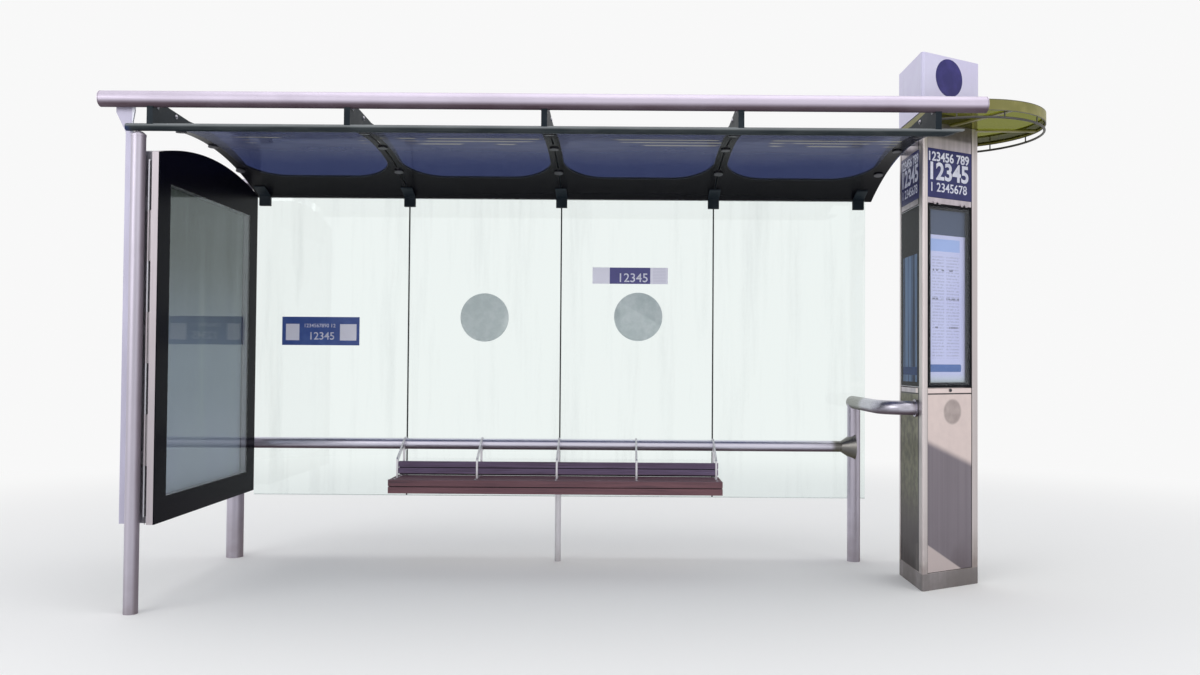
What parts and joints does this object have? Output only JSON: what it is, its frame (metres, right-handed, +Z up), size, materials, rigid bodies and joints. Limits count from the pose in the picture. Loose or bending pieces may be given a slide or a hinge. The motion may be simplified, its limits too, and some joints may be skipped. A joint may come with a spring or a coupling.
{
  "type": "bus shelter",
  "caption": "Open glass bus shelter with an arched roof under swept steel arms, a slatted bench, a lit poster case and a three-sided timetable totem with a crown ring.",
  "frame": {"origin": "centre of the front left post's foot, on the ground", "axes": "+X along the shelter towards the totem, +Y from the front beam to the rear wall, +Z up"},
  "size_m": [5.518, 1.6843, 3.305],
  "materials": {
    "brushed_steel": "brushed stainless steel",
    "dark_steel": "dark satin paint",
    "shelter_glass": "clear toughened glass, slightly green",
    "edge_rail_green": "dark green-grey satin paint",
    "light_upright": "light blue-grey satin paint",
    "display_glass": "clear glass with a black printed border",
    "display_black": "black satin paint",
    "paper": "matt printed sheet",
    "bench_wood": "weathered stained timber",
    "sign_blue": "dark blue gloss",
    "cap_white": "white glossy sheet",
    "ring_grey": "light grey satin paint",
    "ring_glass": "clear glass, slightly green"
  },
  "bodies": {
    "frame": {"front_beam": "brushed_steel", "edge_rail": "edge_rail_green", "roof_arm_1": "dark_steel", "roof_arm_2": "dark_steel", "roof_arm_3": "dark_steel", "roof_arm_4": "dark_steel", "roof_arm_5": "dark_steel", "roof_glass_1": "shelter_glass", "roof_glass_2": "shelter_glass", "roof_glass_3": "shelter_glass", "roof_glass_4": "shelter_glass", "glass_studs": "brushed_steel", "rear_header": "brushed_steel", "rear_glass_1": "shelter_glass", "rear_glass_2": "shelter_glass", "rear_glass_3": "shelter_glass", "rear_glass_4": "shelter_glass", "glass_clamps": "dark_steel", "rear_rail": "brushed_steel", "front_left_post": "brushed_steel", "rear_left_post": "brushed_steel", "right_post": "brushed_steel", "arm_rail": "brushed_steel", "case_core": "brushed_steel", "case_upright": "light_upright", "case_outer_glass": "display_glass", "case_hinge": "brushed_steel", "case_brackets": "brushed_steel", "notice_sheets": "paper", "bench_frame": "brushed_steel", "bench_boards": "bench_wood", "totem_column": "brushed_steel", "totem_stiles": "brushed_steel", "totem_panels": "brushed_steel", "totem_side_display": "display_black", "totem_signs": "sign_blue", "totem_cap": "cap_white", "totem_brackets": "brushed_steel", "ring_band": "ring_grey", "ring_hoop": "brushed_steel", "ring_glass": "ring_glass"},
    "case_door_leaf": {"case_door": "brushed_steel", "case_door_glass": "display_glass"},
    "totem_door_leaf": {"totem_door": "display_black", "totem_door_glass": "display_glass"}
  },
  "joints": [
    {"name": "case_door_hinge", "type": "hinge", "parent": "frame", "child": "case_door_leaf", "pos_m": [0.058, 0.01, 1.5], "axis": [0, 0, -1], "range_deg": [0, 90]},
    {"name": "totem_door_hinge", "type": "hinge", "parent": "frame", "child": "totem_door_leaf", "pos_m": [4.7156, 0.75979, 2.3775], "axis": [-0.866, -0.5, 0], "range_deg": [0, 80]}
  ]
}
